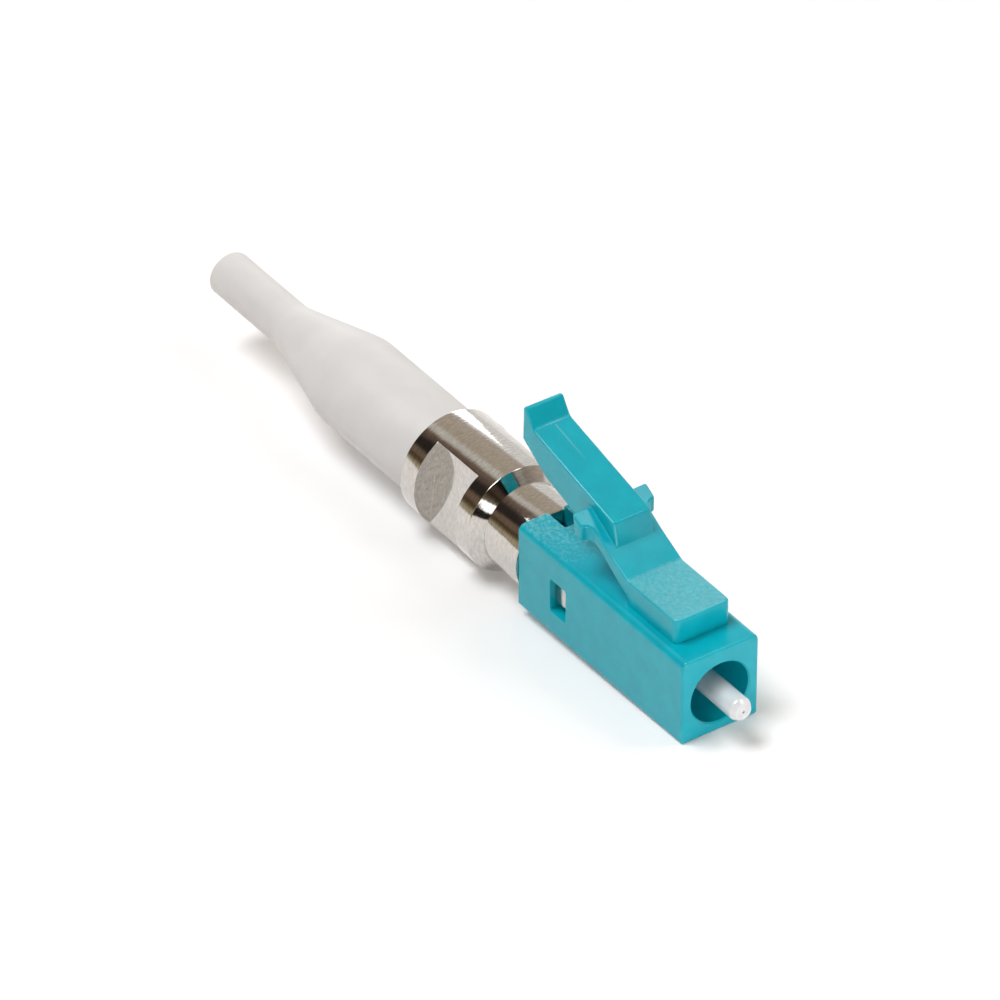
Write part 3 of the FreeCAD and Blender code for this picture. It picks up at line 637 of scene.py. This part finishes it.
stem_front = -BODY_BORE_END_AT - BOOT_GAP
seat = -BODY_BACK_AT + RECESS_DEPTH - BOOT_GAP
sleeve = turned(
    [(stem_front, STEM_INSIDE),
     (stem_front, STEM_RADIUS),
     (seat, STEM_RADIUS)]
    + arc((seat, 0), (seat, BOOT_RADIUS), (-99, BOOT_RADIUS), BOOT_SEAT_ROUND, 3)
    + arc((-20, BOOT_RADIUS), (-BOOT_CONE_FRONT_AT, BOOT_RADIUS),
          (-BOOT_CONE_BACK_AT, BOOT_TAIL_RADIUS), BOOT_SHOULDER_ROUND, 16)
    + arc((-BOOT_CONE_FRONT_AT, BOOT_RADIUS), (-BOOT_CONE_BACK_AT, BOOT_TAIL_RADIUS),
          (-BOOT_END_AT, BOOT_TAIL_RADIUS), BOOT_WAIST_ROUND, 16)
    + arc((-BOOT_CONE_BACK_AT, BOOT_TAIL_RADIUS), (-BOOT_END_AT, BOOT_TAIL_RADIUS),
          (-BOOT_END_AT, 0), BOOT_END_ROUND, 5)
    + arc((-BOOT_END_AT, BOOT_TAIL_RADIUS), (-BOOT_END_AT, BOOT_TAIL_BORE),
          (-BOOT_CONE_BACK_AT, BOOT_TAIL_BORE), BOOT_MOUTH_ROUND, 3)
    + [(-BOOT_CONE_BACK_AT, BOOT_TAIL_BORE),
       (-BOOT_CONE_FRONT_AT, STEM_INSIDE)], steps=160)
boot_moulding = finished("boot_moulding", sleeve, soft_pvc, weighted=False)
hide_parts("boot")
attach(boot_moulding, "connector")


# Ferrule: a zirconia rod, sintered, ground round and polished on its end, pressed into its
# carrier. It has a lead chamfer and a 0.126 mm hole for the fibre.
FERRULE_REACH = 1.9
FERRULE_RADIUS = 0.6245
FERRULE_GRIP_RADIUS = 0.6045
FERRULE_TIP_RADIUS = 0.45
FERRULE_TIP_CHAMFER = 0.3
FERRULE_TIP_DOME = 0.012
FERRULE_TIP_ROUND = 0.05
FERRULE_CHAMFER_ROUND = 0.3
FERRULE_BACK_AT = 5.32
COLLAR_FRONT_AT = 3.62
FIBRE_HOLE_RADIUS = 0.063
FIBRE_FUNNEL_RADIUS = 0.3
FIBRE_FUNNEL_LENGTH = 0.5

# Zirconia, ground and polished: a milky white that light enters a little, under a hard gloss.
zirconia, tree, output = new_material("polished_zirconia")
place = add(tree, "TexCoord").outputs["Object"]
cloud = add(tree, "TexNoise", {"Vector": place, "Scale": 1 / (0.8 * MM), "Detail": 2.0}).outputs["Fac"]
milk = ramp(tree, cloud, (0.3, "#D3D5D8"), (0.7, "#DCDEE1"))
ground = add(tree, "MapRange", {"Value": cloud, "To Min": 0.14, "To Max": 0.24}).outputs["Result"]
ceramic = add(tree, "BsdfPrincipled", {
    "Base Color": milk, "Roughness": ground, "IOR": 2.1,
    "Subsurface Weight": 0.35, "Subsurface Radius": (1.0, 0.95, 0.9), "Subsurface Scale": 0.3 * MM})
tree.links.new(ceramic.outputs["BSDF"], output.inputs["Surface"])

rod = turned(
    [(FERRULE_REACH, FIBRE_HOLE_RADIUS),
     (FERRULE_REACH, FERRULE_TIP_RADIUS / 2)]
    + arc((FERRULE_REACH, 0), (FERRULE_REACH - FERRULE_TIP_DOME, FERRULE_TIP_RADIUS),
          (FERRULE_REACH - FERRULE_TIP_CHAMFER, FERRULE_RADIUS), FERRULE_TIP_ROUND, 3)
    + arc((FERRULE_REACH, FERRULE_TIP_RADIUS), (FERRULE_REACH - FERRULE_TIP_CHAMFER, FERRULE_RADIUS),
          (-MOUTH_DEPTH, FERRULE_RADIUS), FERRULE_CHAMFER_ROUND, 4)
    + [(-MOUTH_DEPTH, FERRULE_RADIUS),
       (-COLLAR_FRONT_AT, FERRULE_GRIP_RADIUS),
       (-FERRULE_BACK_AT, FERRULE_GRIP_RADIUS),
       (-FERRULE_BACK_AT, FIBRE_FUNNEL_RADIUS),
       (-FERRULE_BACK_AT + FIBRE_FUNNEL_LENGTH, FIBRE_HOLE_RADIUS)], steps=96)
ferrule_rod = finished("ferrule_rod", rod, zirconia, sharp_degrees=30.0, weighted=False)
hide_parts("ferrule")
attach(ferrule_rod, "ferrule_unit")


# Ferrule's carrier, guide tube and spring: the working parts behind the ferrule, hardly seen. The
# carrier is turned nickel silver, the tube extruded PTFE, the spring coiled stainless wire.
def dress(node, material):
    """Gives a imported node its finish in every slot."""
    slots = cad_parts[node].material_slots
    if not slots:
        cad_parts[node].data.materials.append(material)
    for place_of in slots:
        place_of.material = material


# Turned nickel silver: a yellowish grey with rings about 0.1 mm apart.
nickel_silver, tree, output = new_material("turned_nickel_silver")
place = add(tree, "TexCoord").outputs["Object"]
rings = add(tree, "TexNoise", {"Vector": add(tree, "SeparateXYZ", {"Vector": place}).outputs["X"],
                               "Scale": 1 / (0.1 * MM), "Detail": 2.0}).outputs["Fac"]
cut = add(tree, "MapRange", {"Value": rings, "To Min": 0.2, "To Max": 0.35}).outputs["Result"]
tone = ramp(tree, rings, (0.3, "#BDB6A4"), (0.7, "#CAC3B2"))
turning_marks = add(tree, "Bump", {"Height": rings, "Strength": 0.1, "Distance": 0.02 * MM}).outputs["Normal"]
alloy = add(tree, "BsdfPrincipled", {
    "Base Color": tone, "Metallic": 1.0, "Roughness": cut, "Normal": turning_marks})
tree.links.new(alloy.outputs["BSDF"], output.inputs["Surface"])
dress("ferrule_carrier", nickel_silver)

# Extruded PTFE: waxy white with faint lines along the tube.
ptfe, tree, output = new_material("extruded_ptfe")
place = add(tree, "TexCoord").outputs["Object"]
drawn = add(tree, "Mapping", {"Vector": place, "Scale": (0.05, 1.0, 1.0)}).outputs["Vector"]
lines = add(tree, "TexNoise", {"Vector": drawn, "Scale": 1 / (0.12 * MM), "Detail": 2.0}).outputs["Fac"]
waxy = ramp(tree, lines, (0.3, "#D9D8D2"), (0.7, "#E4E3DE"))
wax = add(tree, "MapRange", {"Value": lines, "To Min": 0.4, "To Max": 0.55}).outputs["Result"]
tube = add(tree, "BsdfPrincipled", {"Base Color": waxy, "Roughness": wax, "IOR": 1.38})
tree.links.new(tube.outputs["BSDF"], output.inputs["Surface"])
dress("guide_tube", ptfe)

# Drawn stainless spring wire: cool grey with fine die lines.
# The coil is a merged copy of the packed one.
spring_wire, tree, output = new_material("drawn_stainless_wire")
place = add(tree, "TexCoord").outputs["Object"]
die = add(tree, "TexNoise", {"Vector": place, "Scale": 1 / (0.1 * MM), "Detail": 3.0}).outputs["Fac"]
steel = ramp(tree, die, (0.3, "#A9A9A8"), (0.7, "#BCBCBB"))
drawn_skin = add(tree, "MapRange", {"Value": die, "To Min": 0.22, "To Max": 0.38}).outputs["Result"]
wire = add(tree, "BsdfPrincipled", {"Base Color": steel, "Metallic": 1.0, "Roughness": drawn_skin})
tree.links.new(wire.outputs["BSDF"], output.inputs["Surface"])
coil = bmesh.new()
coil.from_mesh(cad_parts["spring"].data)
bmesh.ops.remove_doubles(coil, verts=coil.verts, dist=1e-7)
bmesh.ops.scale(coil, vec=(1 / MM, 1 / MM, 1 / MM), verts=coil.verts)
spring_coil = finished("spring_coil", coil, spring_wire, weighted=False)
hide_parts("spring")
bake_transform(spring_coil)


# Floor: a plain pale sheet. The connector rests on the nose's front lower edge and on the metal
# body's front rim, nose down, so the sheet tilts to meet it as modelled.
FLOOR_SIZE = 3000.0
FLOOR_GLOW = 0.14
rest_turn = math.asin((BODY_RADIUS + NOSE_BOTTOM) / (BODY_FRONT_AT - NOSE_FACE_ROUND))
nose_centre = Vector((-NOSE_FACE_ROUND, 0.0, NOSE_BOTTOM + NOSE_FACE_ROUND))
contact = nose_centre + NOSE_FACE_ROUND * Vector((math.sin(rest_turn), 0.0, -math.cos(rest_turn)))
sheet = bmesh.new()
bmesh.ops.create_grid(sheet, x_segments=1, y_segments=1, size=FLOOR_SIZE / 2)
bmesh.ops.rotate(sheet, cent=(0, 0, 0), matrix=Matrix.Rotation(-rest_turn, 3, "Y"), verts=sheet.verts)
bmesh.ops.translate(sheet, vec=contact, verts=sheet.verts)

# Pale paper: matt, with a little added glow for the camera, glossy and transmission rays only, so that
# it shows white and keeps the shadow.
pale_paper, tree, output = new_material("pale_paper")
light_path = add(tree, "LightPath")
seen = add(tree, "Math", {0: light_path.outputs["Is Camera Ray"],
                          1: light_path.outputs["Is Transmission Ray"]}, operation="MAXIMUM")
looked_at = add(tree, "Math", {0: seen.outputs[0], 1: light_path.outputs["Is Glossy Ray"]},
                operation="MAXIMUM")
glow = add(tree, "Math", {0: looked_at.outputs[0], 1: FLOOR_GLOW},
           operation="MULTIPLY").outputs[0]
paper = add(tree, "BsdfDiffuse", {"Color": linear("#EFEEEE")})
lift = add(tree, "Emission", {"Color": linear("#FFFFFF"), "Strength": glow})
both = add(tree, "AddShader", {0: paper.outputs[0], 1: lift.outputs[0]})
tree.links.new(both.outputs[0], output.inputs["Surface"])
floor = finished("floor", sheet, pale_paper, weighted=False)


# Studio: a soft key high on the near side, a low box behind the far side, a small one above it, a
# spot that the metal body's cone reflects, and a small lamp before the nose. The room is banded
# along the connector, pale low down and dark above the near side, for the metal to reflect.
def softbox(name, away, up, distance, size, strength, colour="#FFFFFF"):
    """A square lamp that faces the connector from (away, up) degrees at a distance in metres."""
    data = bpy.data.lights.new(name, "AREA")
    data.shape = "SQUARE"
    data.size = size
    data.energy = strength
    data.color = linear(colour)[:3]
    lamp = bpy.data.objects.new(name, data)
    turn, rise = math.radians(away), math.radians(up)
    towards = Vector((math.cos(turn) * math.cos(rise), math.sin(turn) * math.cos(rise), math.sin(rise)))
    lamp.location = Vector((-0.015, 0, 0)) + towards * distance
    lamp.rotation_euler = towards.to_track_quat("Z", "Y").to_euler()
    lamp.visible_camera = False
    bpy.context.scene.collection.objects.link(lamp)


softbox("far_box", away=145.0, up=14.0, distance=0.9, size=0.24, strength=0.6)
softbox("key_box", away=-119.0, up=68.0, distance=1.0, size=0.46, strength=7.7, colour="#FAFCFF")
softbox("top_box", away=60.0, up=57.0, distance=1.0, size=0.25, strength=1.0)
softbox("side_spot", away=-38.0, up=20.0, distance=1.0, size=0.24, strength=0.42)
softbox("nose_fill", away=-6.0, up=3.0, distance=0.043, size=0.012, strength=0.0046)

# The room's colour goes by the angle round the X axis, slanted a little along it, and the room is
# dimmer in front of the nose.
ROOM_START = -0.33
ROOM_SPAN = 1.25 * math.pi
ROOM_SLANT = 0.5
room = bpy.data.worlds.new("room")
room.use_nodes = True
tree = room.node_tree
tree.nodes.clear()
output = add(tree, "OutputWorld")
way = add(tree, "SeparateXYZ", {"Vector": add(tree, "TexCoord").outputs["Generated"]})
round_axis = add(tree, "Math", {0: way.outputs["Z"], 1: way.outputs["Y"]},
                 operation="ARCTAN2").outputs[0]
slanted = add(tree, "Math", {0: way.outputs["X"], 1: ROOM_SLANT, 2: round_axis},
              operation="MULTIPLY_ADD").outputs[0]
turn = add(tree, "MapRange", {"Value": slanted, "From Min": ROOM_START,
                              "From Max": ROOM_START + ROOM_SPAN}).outputs["Result"]
walls = ramp(tree, turn,
             (0.0, "#F2F2F0"), (0.152, "#F4F4F2"), (0.18, "#C4B6AE"), (0.248, "#C2B7A7"),
             (0.352, "#BCB0A0"), (0.392, "#D8D5CE"), (0.428, "#D0CCC3"), (0.456, "#7E6B5E"),
             (0.52, "#5E4E44"), (0.552, "#312B28"), (0.624, "#312B28"), (0.656, "#776455"),
             (0.692, "#776455"), (0.72, "#4F3F2B"), (0.744, "#6A5C48"), (0.776, "#B1A489"),
             (0.85, "#B1A489"), (0.88, "#3A3430"))
dim_front = add(tree, "MapRange", {"Value": way.outputs["X"], "From Min": 0.25, "From Max": 0.65,
                                   "To Min": 1.0, "To Max": 0.4}).outputs["Result"]
sky = add(tree, "Background", {"Color": walls, "Strength": dim_front})
tree.links.new(sky.outputs[0], output.inputs["Surface"])
bpy.context.scene.world = room
bpy.context.scene.view_settings.view_transform = "Standard"


# Camera: a long lens, 400 mm from the connector, in front, on the near side and above. It is aimed a
# little to one side, so that the connector sits where it should in the frame.
AZIMUTH = math.radians(55.182)
ELEVATION = math.radians(36.42)
DISTANCE = 400.0
ASIDE = 10.587
RAISED = 9.240
LENS = 299.8
SENSOR = 36.0
forward = Vector((-math.sin(AZIMUTH) * math.cos(ELEVATION), math.cos(AZIMUTH) * math.cos(ELEVATION),
                  -math.sin(ELEVATION)))
right = Vector((math.cos(AZIMUTH), math.sin(AZIMUTH), 0.0))
camera_data = bpy.data.cameras.new("camera")
camera_data.lens = LENS
camera_data.sensor_width = SENSOR
camera = bpy.data.objects.new("camera", camera_data)
camera.location = MM * (-DISTANCE * forward - ASIDE * right + RAISED * right.cross(forward))
camera.rotation_euler = (math.pi / 2 - ELEVATION, 0.0, AZIMUTH)
bpy.context.scene.collection.objects.link(camera)
bpy.context.scene.camera = camera
